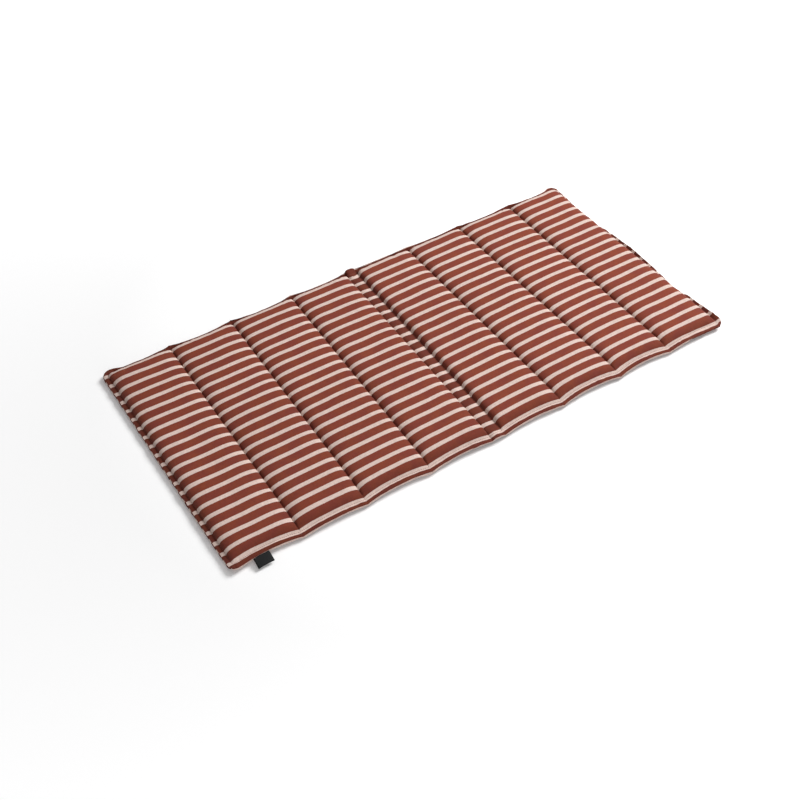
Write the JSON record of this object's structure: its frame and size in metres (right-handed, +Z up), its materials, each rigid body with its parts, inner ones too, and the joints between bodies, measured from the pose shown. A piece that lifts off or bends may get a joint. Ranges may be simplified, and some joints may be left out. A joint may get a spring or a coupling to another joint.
{
  "type": "folding seat cushion",
  "caption": "Flat quilted seat cushion of striped canvas, lying open, with filled channels on both sides of a narrow unfilled strip where it folds.",
  "frame": {"origin": "middle of the bounding box, on the surface that the cushion lies on", "axes": "+X along the long side, +Y towards the back edge, which is opposite the side tab, +Z up"},
  "size_m": [1.0488, 0.5248, 0.022],
  "materials": {
    "striped_canvas": "woven",
    "woven_tape": "woven"
  },
  "bodies": {
    "root": {"cushion": "striped_canvas", "side_tab": "woven_tape"}
  },
  "joints": []
}
